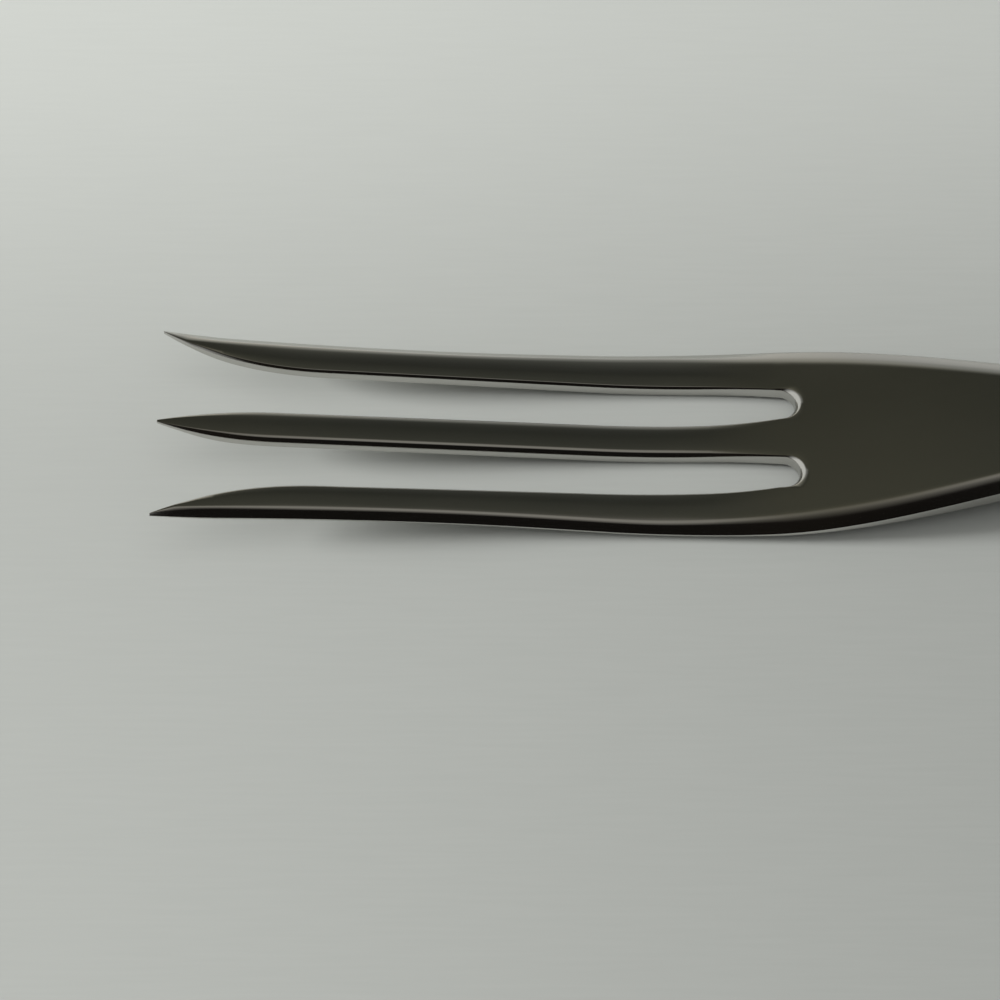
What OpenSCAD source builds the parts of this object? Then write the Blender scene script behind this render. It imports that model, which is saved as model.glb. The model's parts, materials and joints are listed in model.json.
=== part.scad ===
// Turning fork: a forged three-tined steel fork whose full tang carries two riveted handle scales.
// Millimetres, +Z up. The fork lies along X, points towards -X, on its belly and on the flat of its handle.

/* [Tines] */
// Length of the tines, from the points to the slot roots
tine_length = 89; // [75:0.5:110]
// Width of the head at its widest
head_w = 29.7; // [28:0.1:33]
// Distance ahead of the slot roots at which the head is widest
head_from_root = 4; // [0:0.5:10]
// Width across the side tines where they draw in
waist_w = 28; // [26:0.1:31]
// Distance from the slot roots to where the side tines draw in
waist_from_root = 49.5; // [35:0.5:60]
// Width across the points of the side tines
tip_span = 30; // [28:0.1:34]
// Width of the middle tine before it widens into the slot roots
middle_root_w = 5.3; // [4:0.1:6]
// Width of the middle tine where its point begins
middle_tip_w = 5; // [3.5:0.1:5.5]
// Width of each slot at its round root
slot_root_w = 4.7; // [4:0.1:5.4]
// Width of each slot where it starts to draw in towards its root
slot_back_w = 5.7; // [5.4:0.1:6.5]
// Length over which it draws in
slot_draw_l = 10; // [6:0.5:14]
// Width of each slot where the side points begin
slot_mouth_w = 6.6; // [5.5:0.1:7.4]
// Length of the point of the middle tine
middle_point_l = 17; // [12:0.5:26]
// Length of the points of the side tines
side_point_l = 25; // [15:0.5:35]
// Blunt width left at the end of each point
point_w = 0.3; // [0.2:0.05:0.6]

/* [Steel section] */
// Thickness of the tines at the slot roots
tine_t = 2.2; // [2:0.1:3]
// Thickness of the tines where they start to thin into the points
tine_end_t = 1.8; // [1.4:0.1:2.4]
// Thickness left at the end of each point
point_t = 0.5; // [0.3:0.05:0.8]
// Length over which the points are ground thin from below
point_thin_l = 10; // [5:0.5:14]
// Thickness of the neck at its thickest
neck_t = 4.4; // [3.4:0.1:5]
// Distance ahead of the slot roots at which the steel starts to thicken towards the neck
swell_from_root = 14; // [0:0.5:20]
// Length over which it does so
neck_swell_l = 56; // [40:0.5:64]
// Thickness of the tang between the scales
tang_t = 3.2; // [2.5:0.1:4]
// Reach of the bevel in from the outer sides of the tines, seen from above
tine_edge_run = 1.1; // [0.8:0.1:2]
// Reach of the wider bevel in from the sides of the head and neck
head_edge_run = 2.2; // [1.6:0.1:3]
// Depth of that wider bevel
head_edge_drop = 1.2; // [0.8:0.05:1.6]
// Radius along the lower edges of the head and neck
head_foot_r = 0.9; // [0.4:0.05:1]
// Distance ahead of the slot roots at which the bevel of the tines starts to widen
edge_from_root = 22; // [15:0.5:45]
// Length over which it does so
edge_blend_l = 26; // [20:0.5:45]
// Radius on the edges of the tang
tang_edge_r = 0.2; // [0.1:0.05:0.4]

/* [Side profile] */
// Slope of the tines up from the belly, in degrees
tine_angle = 4.7; // [2:0.1:7]
// Radius of the bend under the belly
belly_r = 130; // [80:5:250]
// Distance of the lowest point of the belly from the slot roots
belly_offset = 17.5; // [10:0.5:24]
// Length over which the neck bends at each end of its straight rise
neck_bend_l = 20; // [12:0.5:30]

/* [Neck] */
// Length from the slot roots to the front of the handle
neck_length = 83.5; // [70:0.5:100]
// Width of the neck at its narrowest
neck_w = 11.5; // [10:0.1:14]
// Length over which the neck widens into the front of the handle
shoulder_l = 22; // [14:0.5:24]

/* [Handle] */
// Length of the handle
handle_length = 118; // [110:0.5:140]
// Width of the handle at its front
handle_front_w = 18; // [17:0.1:21]
// Width of the handle at the palm swell
handle_swell_w = 25; // [22:0.1:28]
// Distance of the palm swell from the front of the handle
handle_swell_at = 78; // [65:0.5:90]
// Width of the handle just before its round end
handle_butt_w = 23; // [21:0.1:27]
// Radius of the corners of the butt, seen from above
butt_r = 9; // [6:0.1:10]
// Thickness of each scale
scale_t = 6.4; // [5.6:0.1:8]
// Radius on the long outer edges of the scales
scale_edge_r = 4.6; // [3:0.1:4.9]
// Length of the rounded nose at the front of the scales
scale_nose_l = 10; // [6:0.5:12]
// Height of the scales at their front edge
scale_nose_h = 2.2; // [1.5:0.1:4]
// Length of the rounding at the butt of the scales
scale_heel_l = 5; // [3:0.5:6]
// Height of the scales at their butt edge
scale_heel_h = 3.4; // [2:0.1:5]

/* [Rivets] */
// Distance of the front rivet from the front of the handle
rivet_inset = 18; // [17:0.5:22]
// Distance between neighbouring rivets
rivet_pitch = 30; // [24:0.5:32]
// Diameter of the rivet heads
rivet_head_d = 8; // [6:0.1:8.5]
// Thickness of the rivet heads
rivet_head_h = 1.6; // [1:0.1:2.2]
// Outside diameter of the rivet sleeves
sleeve_d = 5.2; // [4.6:0.1:5.6]
// Diameter of the rivet posts
post_d = 3.4; // [2.6:0.1:3.8]
// Thickness of solid metal behind the head at the bottom of a sleeve's bore
sleeve_floor = 1.4; // [0.8:0.1:2]
// Gap between the end of a sleeve and the head of its post
sleeve_end_gap = 0.8; // [0.4:0.1:1.5]
// Gap between the end of a post and the bottom of its sleeve's bore
post_end_gap = 0.6; // [0.3:0.1:1.5]

/* [Hanging hole] */
// Diameter of the hanging hole
hang_hole_d = 6.5; // [5:0.1:8]
// Distance of the hanging hole from the butt
hang_hole_inset = 12; // [11:0.5:14]

/* [Fits] */
// Clearance round a rivet in its hole, on the radius
rivet_gap = 0.05; // [0.02:0.01:0.1]
// Clearance of a post in its sleeve, on the radius
post_gap = 0.02; // [0.01:0.01:0.05]

/* [Hidden] */

steel = [0.36, 0.35, 0.33];
walnut = [0.27, 0.15, 0.08];
brass = [0.72, 0.55, 0.27];

// Places along X, from the points to the butt, with X = 0 at half length
length = tine_length + neck_length + handle_length;
x_tip = -length / 2;
x_root = x_tip + tine_length;
x_waist = x_root - waist_from_root;
x_belly = x_root - belly_offset;
x_edge = x_root - edge_from_root;
x_swell = x_root - swell_from_root;
x_widest = x_root - head_from_root;
x_handle = x_root + neck_length;
x_shoulder = x_handle - shoulder_l;
x_butt = length / 2;
x_hang_hole = x_butt - hang_hole_inset;
rivet_xs = [for (i = [0 : 2]) x_handle + rivet_inset + i * rivet_pitch];

// Heights: the lower scale lies on Z = 0 and carries the tang
z_tang_top = scale_t + tang_t;
handle_t = 2 * scale_t + tang_t;

// Round roots of the slots
root_r = slot_root_w / 2;
x_root_centre = x_root - root_r;
y_slot = (middle_root_w + slot_back_w) / 2;

// Power of the curve that the points follow, from slim towards blunt
point_power = 2.3;
// Share of the thickness left as a narrow flat between an upper and a lower edge
edge_land = 0.04;
// How nearly flat the bevels are, from a quarter of an ellipse at 0 to a plane at 1
edge_flatness = 0.85;
// Most of the width of a side tine that the bevel of its outer edge may take
edge_room = 0.6;
// Least flat left beside the rounded edges of a scale
scale_land = 0.5;
// Facets of the edges, smoothness of round holes, and overshoot of cutters past what they cut
steel_edge_steps = 6;
scale_edge_steps = 6;
hole_fn = 64;
over = 2;

function mix(a, b, s) = a + (b - a) * s;
function clamp(s) = min(max(s, 0), 1);
// Share that rises smoothly from 0 at a to 1 at b
function ease(x, a, b) = let (s = clamp((x - a) / (b - a))) s * s * (3 - 2 * s);
// Share of the full width of a point of length l, at distance s from its end
function point_share(s, l) = 1 - pow(1 - clamp(s / l), point_power);

// Places from a up to but not including b, evenly, crowded towards a, and crowded towards b with b included
function even(a, b, n) = [for (i = [0 : n - 1]) mix(a, b, i / n)];
function crowd_start(a, b, n) = [for (i = [0 : n - 1]) mix(a, b, 1 - cos(90 * i / n))];
function crowd_end(a, b, n) = [for (i = [0 : n]) mix(a, b, sin(90 * i / n))];

// Half width of the handle at x, with its round butt
function handle_half(x) =
    let (
        x_palm = x_handle + handle_swell_at,
        front = mix(handle_front_w, handle_swell_w, ease(x, x_handle, x_palm)),
        rear = mix(handle_swell_w, handle_butt_w, ease(x, x_palm, x_butt)),
        into = max(x - x_butt + butt_r, 0)
    )
    (x < x_palm ? front : rear) / 2 - butt_r + sqrt(max(butt_r * butt_r - into * into, 0));

// Half width of the steel at x, slots left out
function steel_half(x) =
    x < x_waist ? mix(waist_w, tip_span, pow((x_waist - x) / (x_waist - x_tip), 2)) / 2
    : x < x_widest ? mix(waist_w, head_w, ease(x, x_waist, x_widest)) / 2
    : x < x_shoulder ? mix(head_w, neck_w, ease(x, x_widest, x_shoulder)) / 2
    : x < x_handle ? mix(neck_w, handle_front_w, ease(x, x_shoulder, x_handle)) / 2
    : handle_half(x);

// Thickness of the steel at x before its points are thinned, and what is ground off below them
function full_t(x) =
    let (
        tine = mix(tine_end_t, tine_t, clamp((x - x_tip) / tine_length)),
        neck = mix(tine, neck_t, ease(x, x_swell, x_swell + neck_swell_l))
    )
    mix(neck, tang_t, ease(x, x_shoulder, x_handle));
function thinned(x) = (tine_end_t - point_t) * (1 - sin(90 * clamp((x - x_tip) / point_thin_l)));

// Share of a straight rise over length l at distance d from its start, with a bend at each end
function rise(d, l, bend) =
    d < bend ? d * d / (2 * bend * (l - bend))
    : d < l - bend ? (d - bend / 2) / (l - bend)
    : 1 - pow(max(l - d, 0), 2) / (2 * bend * (l - bend));

// Height of the underside at x before thinning: tines straight, belly an arc, neck a straight rise to the tang
function belly_z(x) =
    let (d = x_belly - x, bend = belly_r * sin(tine_angle))
    d > bend ? belly_r * (1 - cos(tine_angle)) + (d - bend) * tan(tine_angle)
    : d > 0 ? belly_r - sqrt(belly_r * belly_r - d * d)
    : scale_t * rise(-d, x_handle - x_belly, neck_bend_l);

// How far the bevel of the tines has widened into that of the head at x, and that has turned into the tang's edge
function widened(x) = ease(x, x_edge, x_edge + edge_blend_l);
function squared(x) = ease(x, x_shoulder, x_handle);

// Half width of the middle tine and width of a side tine at x
function taper(x, point_l) = clamp((x - x_tip - point_l) / (x_root_centre - x_tip - point_l));
function drawn_in(x) = (slot_back_w - slot_root_w) * pow(clamp((x - x_root_centre) / slot_draw_l + 1), 2);
function middle_full(x) = (mix(middle_tip_w, middle_root_w, taper(x, middle_point_l)) + drawn_in(x)) / 2;
function slot_full(x) = mix(slot_mouth_w, slot_back_w, taper(x, side_point_l)) - drawn_in(x);
function middle_half(x) = mix(point_w / 2, middle_full(x), point_share(x - x_tip, middle_point_l));
function side_w(x) =
    let (full = steel_half(x) - middle_full(x) - slot_full(x))
    mix(point_w, full, point_share(x - x_tip, side_point_l));

// Section of the steel at x: flat faces above and below, between an upper and a lower edge on each side
function steel_ring(x) =
    let (
        t = full_t(x) - thinned(x),
        z0 = belly_z(x) + thinned(x),
        z1 = z0 + t,
        half = steel_half(x),
        round_r = (1 - edge_land) * t / 2,
        free_drop = mix(round_r, head_edge_drop, widened(x)),
        free_foot = min(mix(round_r, head_foot_r, widened(x)), (1 - edge_land) * t - free_drop),
        run_room = edge_room * side_w(min(x, x_root_centre)),
        free_run = min(mix(tine_edge_run, head_edge_run, widened(x)), run_room),
        run = mix(free_run, tang_edge_r, squared(x)),
        drop = mix(free_drop, tang_edge_r, squared(x)),
        foot = mix(free_foot, tang_edge_r, squared(x)),
        flatness = edge_flatness * (1 - squared(x)),
        upper = [
            for (i = [0 : steel_edge_steps])
                let (
                    s = i / steel_edge_steps,
                    p = mix([cos(90 * s), sin(90 * s)], [1 - s, s], flatness)
                )
                [half - run + run * p.x, z1 - drop + drop * p.y]
        ],
        lower = [
            for (i = [0 : steel_edge_steps])
                let (turn = 90 * i / steel_edge_steps)
                [half - foot + foot * cos(turn), z0 + foot - foot * sin(turn)]
        ]
    )
    concat(
        [for (p = upper) [x, p.x, p.y]],
        [for (i = [steel_edge_steps : -1 : 0]) [x, -upper[i].x, upper[i].y]],
        [for (p = lower) [x, -p.x, p.y]],
        [for (i = [steel_edge_steps : -1 : 0]) [x, lower[i].x, lower[i].y]]
    );

// Height of a scale above the tang at x: a rounded nose, a flat back and a rounded heel
function scale_h(x) =
    let (
        nose = 1 - clamp((x - x_handle) / scale_nose_l),
        heel = clamp((x - x_butt + scale_heel_l) / scale_heel_l),
        nose_h = mix(scale_nose_h, scale_t, sqrt(1 - nose * nose)),
        heel_h = mix(scale_heel_h, scale_t, sqrt(1 - heel * heel))
    )
    min(nose_h, heel_h);

// Section of the upper scale at x: flat on the tang, with its outer edges rounded over
function scale_ring(x) =
    let (
        h = scale_h(x),
        half = handle_half(x),
        r = min(scale_edge_r, h - scale_land, half - scale_land),
        y = half - r,
        z = z_tang_top + h - r
    )
    concat(
        [[x, -half, z_tang_top], [x, half, z_tang_top]],
        [
            for (q = [0 : 1], i = [0 : scale_edge_steps])
                let (turn = 90 * (q + i / scale_edge_steps))
                [x, (q == 0 ? y : -y) + r * cos(turn), z + r * sin(turn)]
        ]
    );

// Solid through closed rings of points, each at one x
module loft(rings) {
    n = len(rings[0]);
    last = len(rings) - 1;
    front = [for (k = [0 : n - 1]) k];
    rear = [for (k = [n - 1 : -1 : 0]) last * n + k];
    sides = [
        for (i = [0 : last - 1], k = [0 : n - 1])
            let (a = i * n + k, b = i * n + (k + 1) % n)
            each [[a, a + n, b + n], [a, b + n, b]]
    ];
    polyhedron(points = [for (ring = rings) each ring], faces = concat([front], sides, [rear]));
}

module through_hole(x, r) {
    translate([x, 0, -over])
    cylinder(r = r, h = handle_t + 2 * over, $fn = hole_fn);
}

module handle_holes() {
    for (x = rivet_xs) through_hole(x, sleeve_d / 2 + rivet_gap);
    through_hole(x_hang_hole, hang_hole_d / 2);
}

// Space between the middle tine and the side tine on the +Y side, open past the points
module slot_space() {
    x_point = x_tip + side_point_l;
    x_draw = x_root_centre - slot_draw_l;
    xs = concat(
        [x_tip - over],
        crowd_start(x_tip, x_point, 16),
        [x_point],
        even(x_draw, x_root_centre, 8),
        [x_root_centre]
    );
    middle_side = [for (x = xs) [x, middle_half(max(x, x_tip))]];
    outer_side = [
        for (i = [len(xs) - 1 : -1 : 0])
            let (x = max(xs[i], x_tip))
            [xs[i], steel_half(x) - side_w(x)]
    ];
    translate([0, 0, -over])
    linear_extrude(height = handle_t + 2 * over)
    polygon(concat(middle_side, outer_side));
    translate([x_root_centre, y_slot, -over])
    cylinder(r = root_r, h = handle_t + 2 * over, $fn = hole_fn);
}

module fork_forging() {
    xs = concat(
        crowd_start(x_tip, x_tip + point_thin_l, 6),
        even(x_tip + point_thin_l, x_root, 20),
        even(x_root, x_handle, 28),
        even(x_handle, x_butt - butt_r, 12),
        crowd_end(x_butt - butt_r, x_butt, 7)
    );
    color(steel)
    difference() {
        loft([for (x = xs) steel_ring(x)]);
        for (side = [0, 1]) mirror([0, side, 0]) slot_space();
        handle_holes();
    }
}

module upper_scale() {
    xs = concat(
        crowd_start(x_handle, x_handle + scale_nose_l, 7),
        even(x_handle + scale_nose_l, x_butt - butt_r, 12),
        crowd_end(x_butt - butt_r, x_butt, 10)
    );
    color(walnut)
    difference() {
        loft([for (x = xs) scale_ring(x)]);
        handle_holes();
        for (x = rivet_xs)
            translate([x, 0, handle_t - rivet_head_h])
            cylinder(r = rivet_head_d / 2 + rivet_gap, h = rivet_head_h + over, $fn = hole_fn);
    }
}

module lower_scale() {
    translate([0, 0, handle_t])
    mirror([0, 0, 1])
    upper_scale();
}

// Solid half of a rivet: its head lies in the upper scale and its post fills the sleeve
module rivet_post(x) {
    z_post = rivet_head_h + sleeve_floor + post_end_gap;
    color(brass)
    translate([x, 0, 0]) {
        translate([0, 0, handle_t - rivet_head_h])
        cylinder(d = rivet_head_d, h = rivet_head_h, $fn = hole_fn);
        translate([0, 0, z_post])
        cylinder(d = post_d, h = handle_t - rivet_head_h - z_post, $fn = hole_fn);
    }
}

// Hollow half of a rivet: its head lies in the lower scale and its sleeve passes through the tang
module rivet_sleeve(x) {
    z_sleeve_end = handle_t - rivet_head_h - sleeve_end_gap;
    z_bore = rivet_head_h + sleeve_floor;
    color(brass)
    translate([x, 0, 0])
    difference() {
        union() {
            cylinder(d = rivet_head_d, h = rivet_head_h, $fn = hole_fn);
            cylinder(d = sleeve_d, h = z_sleeve_end, $fn = hole_fn);
        }
        translate([0, 0, z_bore])
        cylinder(r = post_d / 2 + post_gap, h = z_sleeve_end - z_bore + over, $fn = hole_fn);
    }
}

fork_forging();
upper_scale();
lower_scale();
rivet_post(rivet_xs[0]);  // rivet_post_front
rivet_post(rivet_xs[1]);  // rivet_post_middle
rivet_post(rivet_xs[2]);  // rivet_post_rear
rivet_sleeve(rivet_xs[0]);  // rivet_sleeve_front
rivet_sleeve(rivet_xs[1]);  // rivet_sleeve_middle
rivet_sleeve(rivet_xs[2]);  // rivet_sleeve_rear
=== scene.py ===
# %% [markdown]
# # A turning fork, dressed for its picture
# The real fork is one flat steel forging, with three tines, a neck and a tang as long as the handle, and
# two wooden scales that three brass rivets hold against that tang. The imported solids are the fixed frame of
# this scene. Each of them gets a finer skin of the same size, with eased edges and a finish, and then a
# floor, soft light and a camera.

import json
import math

import bmesh
import bpy
from mathutils import Matrix, Vector


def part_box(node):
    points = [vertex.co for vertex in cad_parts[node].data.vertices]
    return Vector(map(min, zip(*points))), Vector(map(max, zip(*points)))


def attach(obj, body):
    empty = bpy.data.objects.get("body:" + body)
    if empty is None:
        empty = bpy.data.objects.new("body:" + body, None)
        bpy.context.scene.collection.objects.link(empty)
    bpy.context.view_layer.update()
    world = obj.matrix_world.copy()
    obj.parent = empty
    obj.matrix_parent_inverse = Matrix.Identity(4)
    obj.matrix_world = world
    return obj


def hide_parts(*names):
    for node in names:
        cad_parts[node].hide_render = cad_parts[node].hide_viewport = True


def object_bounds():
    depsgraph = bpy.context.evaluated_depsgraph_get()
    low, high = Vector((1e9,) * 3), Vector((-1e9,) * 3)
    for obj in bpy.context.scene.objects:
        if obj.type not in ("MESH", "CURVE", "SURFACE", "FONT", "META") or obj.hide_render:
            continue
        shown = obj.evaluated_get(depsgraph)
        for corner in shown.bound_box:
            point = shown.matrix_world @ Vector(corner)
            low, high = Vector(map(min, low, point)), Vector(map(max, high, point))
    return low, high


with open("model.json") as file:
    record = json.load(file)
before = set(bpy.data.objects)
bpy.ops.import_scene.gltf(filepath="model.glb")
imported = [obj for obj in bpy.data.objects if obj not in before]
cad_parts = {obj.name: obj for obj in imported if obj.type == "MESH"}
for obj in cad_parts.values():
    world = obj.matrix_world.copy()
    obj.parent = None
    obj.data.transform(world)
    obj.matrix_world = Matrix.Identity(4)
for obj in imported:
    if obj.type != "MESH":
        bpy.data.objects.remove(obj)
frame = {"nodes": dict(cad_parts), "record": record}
cad_low, cad_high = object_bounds()
print("solids in the frame:", ", ".join(sorted(frame["nodes"])))

# %% [markdown]
# ## Places on the frame
# Everything is in metres. Places that the solids hold are measured on their boxes, and the hanging hole is
# one of the mounts in the record. What no box can tell, such as how deep the slots run, is named once, in
# the cell that first needs it.

# %% Places measured on the frame
scale_low, scale_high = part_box("upper_scale")
x_tip = cad_low.x
x_butt = cad_high.x
x_handle = scale_low.x
z_top = scale_high.z
z_tang_top = scale_low.z
z_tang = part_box("lower_scale")[1].z
z_mid = (z_tang + z_tang_top) / 2
scale_t = z_top - z_tang_top
rivet_places = ["front", "middle", "rear"]
post_boxes = [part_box("rivet_post_" + place) for place in rivet_places]
rivet_xs = [(low.x + high.x) / 2 for low, high in post_boxes]
rivet_head_r = (post_boxes[0][1].x - post_boxes[0][0].x) / 2
hanging_hole = next(mount for mount in frame["record"]["mounts"] if mount["name"] == "hanging_hole")
hang_x = hanging_hole["pos_m"][0]
hang_r = hanging_hole["dims"]["r_mm"] / 1000
print("handle from", round(x_handle, 4), "to", round(x_butt, 4))
print("rivets at", [round(x, 4) for x in rivet_xs])

# %% [markdown]
# ## The lines that the steel follows
# A forging is drawn with a few curves: its outline from above, its thickness, and the line of its belly
# from the side. Each curve is a small function of the place along the fork, so that the mesh, however fine,
# always asks the same drawing. Most of them ease from one size to the next, which leaves no kink in a
# polished face.


# %% Blends between two sizes
def mix(a, b, share):
    return a + (b - a) * share


def clamp(share):
    return min(max(share, 0.0), 1.0)


def ease(x, start, end):
    """A share that rises smoothly from 0 at start to 1 at end."""
    share = clamp((x - start) / (end - start))
    return share * share * (3 - 2 * share)


print("halfway between 2 and 4 is", mix(2, 4, ease(0.5, 0, 1)))

# %% Outline from above
tine_length = 0.0890
head_w = 0.0297
head_from_root = 0.0040
waist_w = 0.0280
waist_from_root = 0.0495
tip_span = cad_high.y - cad_low.y
neck_w = 0.0115
shoulder_l = 0.022
handle_front_w = 0.018
handle_swell_w = 0.025
handle_swell_at = 0.078
handle_butt_w = 0.023
butt_r = 0.009

x_root = x_tip + tine_length
x_waist = x_root - waist_from_root
x_widest = x_root - head_from_root
x_shoulder = x_handle - shoulder_l
x_palm = x_handle + handle_swell_at


def handle_half(x):
    front = mix(handle_front_w, handle_swell_w, ease(x, x_handle, x_palm))
    rear = mix(handle_swell_w, handle_butt_w, ease(x, x_palm, x_butt))
    width = front if x < x_palm else rear
    into_butt = max(x - x_butt + butt_r, 0)
    return width / 2 - butt_r + math.sqrt(max(butt_r**2 - into_butt**2, 0))


def steel_half(x):
    """Half the width of the steel, with its slots left out."""
    if x < x_waist:
        return mix(waist_w, tip_span, ((x_waist - x) / (x_waist - x_tip)) ** 2) / 2
    if x < x_widest:
        return mix(waist_w, head_w, ease(x, x_waist, x_widest)) / 2
    if x < x_shoulder:
        return mix(head_w, neck_w, ease(x, x_widest, x_shoulder)) / 2
    if x < x_handle:
        return mix(neck_w, handle_front_w, ease(x, x_shoulder, x_handle)) / 2
    return handle_half(x)


print("slot roots at", round(x_root, 4), "and neck from there to", round(x_handle, 4))

# %% Widths of the tines and slots
middle_root_w = 0.0053
middle_tip_w = 0.0050
slot_root_w = 0.0047
slot_back_w = 0.0057
slot_draw_l = 0.010
slot_mouth_w = 0.0066
middle_point_l = 0.017
side_point_l = 0.025
point_w = 0.0003
point_power = 2.3

root_r = slot_root_w / 2
x_root_centre = x_root - root_r
y_slot = (middle_root_w + slot_back_w) / 2


def point_share(from_end, point_l):
    """Share of the full width of a point, at a distance from its end."""
    return 1 - (1 - clamp(from_end / point_l)) ** point_power


def taper(x, point_l):
    return clamp((x - x_tip - point_l) / (x_root_centre - x_tip - point_l))


def drawn_in(x):
    """How much narrower a slot has become on its way to the root."""
    return (slot_back_w - slot_root_w) * clamp((x - x_root_centre) / slot_draw_l + 1) ** 2


def middle_full(x):
    return (mix(middle_tip_w, middle_root_w, taper(x, middle_point_l)) + drawn_in(x)) / 2


def middle_half(x):
    """Half the width of the middle tine."""
    return mix(point_w / 2, middle_full(x), point_share(x - x_tip, middle_point_l))


def side_width(x):
    """Width of a side tine, from its outer edge in to its slot."""
    slot = mix(slot_mouth_w, slot_back_w, taper(x, side_point_l)) - drawn_in(x)
    full = steel_half(x) - middle_full(x) - slot
    return mix(point_w, full, point_share(x - x_tip, side_point_l))


print("width of the side tines at half length", round(side_width((x_tip + x_root) / 2) * 1000, 2), "mm")

# %% Thickness and belly from the side
tine_t = 0.0022
tine_end_t = 0.0018
point_t = 0.0005
point_thin_l = 0.010
neck_t = 0.0044
swell_from_root = 0.014
neck_swell_l = 0.056
tang_t = z_tang_top - z_tang
tine_angle = math.radians(4.7)
belly_r = 0.130
belly_offset = 0.0175
neck_bend_l = 0.020

x_swell = x_root - swell_from_root
x_belly = x_root - belly_offset


def full_t(x):
    tine = mix(tine_end_t, tine_t, clamp((x - x_tip) / tine_length))
    neck = mix(tine, neck_t, ease(x, x_swell, x_swell + neck_swell_l))
    return mix(neck, tang_t, ease(x, x_shoulder, x_handle))


def thinned(x):
    """What is ground off below a point."""
    return (tine_end_t - point_t) * (1 - math.sin(math.pi / 2 * clamp((x - x_tip) / point_thin_l)))


def rise(along, length, bend):
    """Share of a straight rise with a bend at each end."""
    if along < bend:
        return along**2 / (2 * bend * (length - bend))
    if along < length - bend:
        return (along - bend / 2) / (length - bend)
    return 1 - max(length - along, 0) ** 2 / (2 * bend * (length - bend))


def belly_z(x):
    """Height of the underside: straight tines, an arc for the belly and a straight neck to the tang."""
    ahead = x_belly - x
    bend = belly_r * math.sin(tine_angle)
    if ahead > bend:
        return belly_r * (1 - math.cos(tine_angle)) + (ahead - bend) * math.tan(tine_angle)
    if ahead > 0:
        return belly_r - math.sqrt(belly_r**2 - ahead**2)
    return z_tang * rise(-ahead, x_handle - x_belly, neck_bend_l)


print("points", round(belly_z(x_tip) * 1000, 2), "mm above the table")

# %% [markdown]
# ## Finishes
# A finish is a Principled shader whose sockets are fed by small patterns. Wiring nodes one by one hides the
# idea, so a wire, which is one output socket, is wrapped in a class: sums and products of wires add Math
# nodes by themselves, and any other node comes from one method. All patterns read Object coordinates, which
# are metres in the frame here, so a pattern stays on its piece and has a real size.


# %% Wires between shader nodes
class Wire:
    """One output socket of a node tree. Arithmetic on wires adds Math nodes."""

    def __init__(self, tree, socket=None):
        self.tree = tree
        self.socket = socket

    def node(self, kind, settings=None, sockets=None, output=0):
        """Adds a node, sets it, then fills or links its sockets, and gives the wire from one output."""
        made = self.tree.nodes.new(kind)
        for name, value in (settings or {}).items():
            if name == "stops":
                set_stops(made.color_ramp, value)
            else:
                setattr(made, name, value)
        for name, value in (sockets or {}).items():
            if isinstance(value, Wire):
                self.tree.links.new(value.socket, made.inputs[name])
            else:
                made.inputs[name].default_value = value
        return Wire(self.tree, made.outputs[output])

    def math(self, operation, first, second):
        return self.node("ShaderNodeMath", {"operation": operation}, {0: first, 1: second})

    def __add__(self, other):
        return self.math("ADD", self, other)

    def __radd__(self, other):
        return self.math("ADD", other, self)

    def __sub__(self, other):
        return self.math("SUBTRACT", self, other)

    def __rsub__(self, other):
        return self.math("SUBTRACT", other, self)

    def __mul__(self, other):
        return self.math("MULTIPLY", self, other)

    def __rmul__(self, other):
        return self.math("MULTIPLY", other, self)

    def __truediv__(self, other):
        return self.math("DIVIDE", self, other)

    def __rtruediv__(self, other):
        return self.math("DIVIDE", other, self)

    def feed(self, node, name):
        self.tree.links.new(self.socket, node.inputs[name])


def set_stops(ramp, stops):
    """Gives a ramp its stops, each a place and a colour, in rising order."""
    while len(ramp.elements) < len(stops):
        ramp.elements.new(1.0)
    for element, (place, colour) in zip(ramp.elements, stops):
        element.position = place
        element.color = (*colour, 1.0)


print("wires can be added, subtracted, multiplied and divided")


# %% Finishes and patterns
noise_mean = 0.5


def new_finish(name):
    """A material, its Principled shader, and a wire with the place on the piece."""
    finish = bpy.data.materials.new(name)
    finish.use_nodes = True
    shader = finish.node_tree.nodes["Principled BSDF"]
    place = Wire(finish.node_tree).node("ShaderNodeTexCoord", output="Object")
    return finish, shader, place


def noise(place, stretch, detail=2.0):
    """A soft random tone from 0 to 1 with about stretch waves in a metre, along each axis."""
    spread = place.node("ShaderNodeVectorMath", {"operation": "MULTIPLY"}, {0: place, 1: stretch})
    return place.node("ShaderNodeTexNoise", {}, {"Vector": spread, "Scale": 1.0, "Detail": detail})


def grey(tone):
    return (tone,) * 3


def blend_colours(share, first, second):
    """A colour between two others."""
    mixer = {"data_type": "RGBA"}
    return share.node("ShaderNodeMix", mixer, {"Factor": share, "A": first, "B": second}, output="Result")


print("noise swings about", noise_mean)

# %% [markdown]
# ### Polished steel
# The fork was ground lengthwise and then polished until it mirrors the room, with only a breath of the
# grinding left. Full metallic with a low roughness gives the mirror. The roughness is not the same all
# over: fine lines run along the fork and hands have left duller places, and both are noise that is drawn
# out along X or left round.

# %% Make the steel
steel_colour = (0.58, 0.57, 0.54)
steel_roughness = 0.11
line_depth = 0.05
line_waves = (40, 2600, 2600)
smudge_depth = 0.08
smudge_waves = (60, 130, 130)

polished_steel, steel_shader, place = new_finish("polished_steel")
grinding = line_depth * (noise(place, line_waves, detail=3.0) - noise_mean)
smudges = smudge_depth * (noise(place, smudge_waves) - noise_mean)
steel_shader.inputs["Base Color"].default_value = (*steel_colour, 1.0)
steel_shader.inputs["Metallic"].default_value = 1.0
(steel_roughness + grinding + smudges).feed(steel_shader, "Roughness")
print("steel with a roughness of about", steel_roughness)

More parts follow.
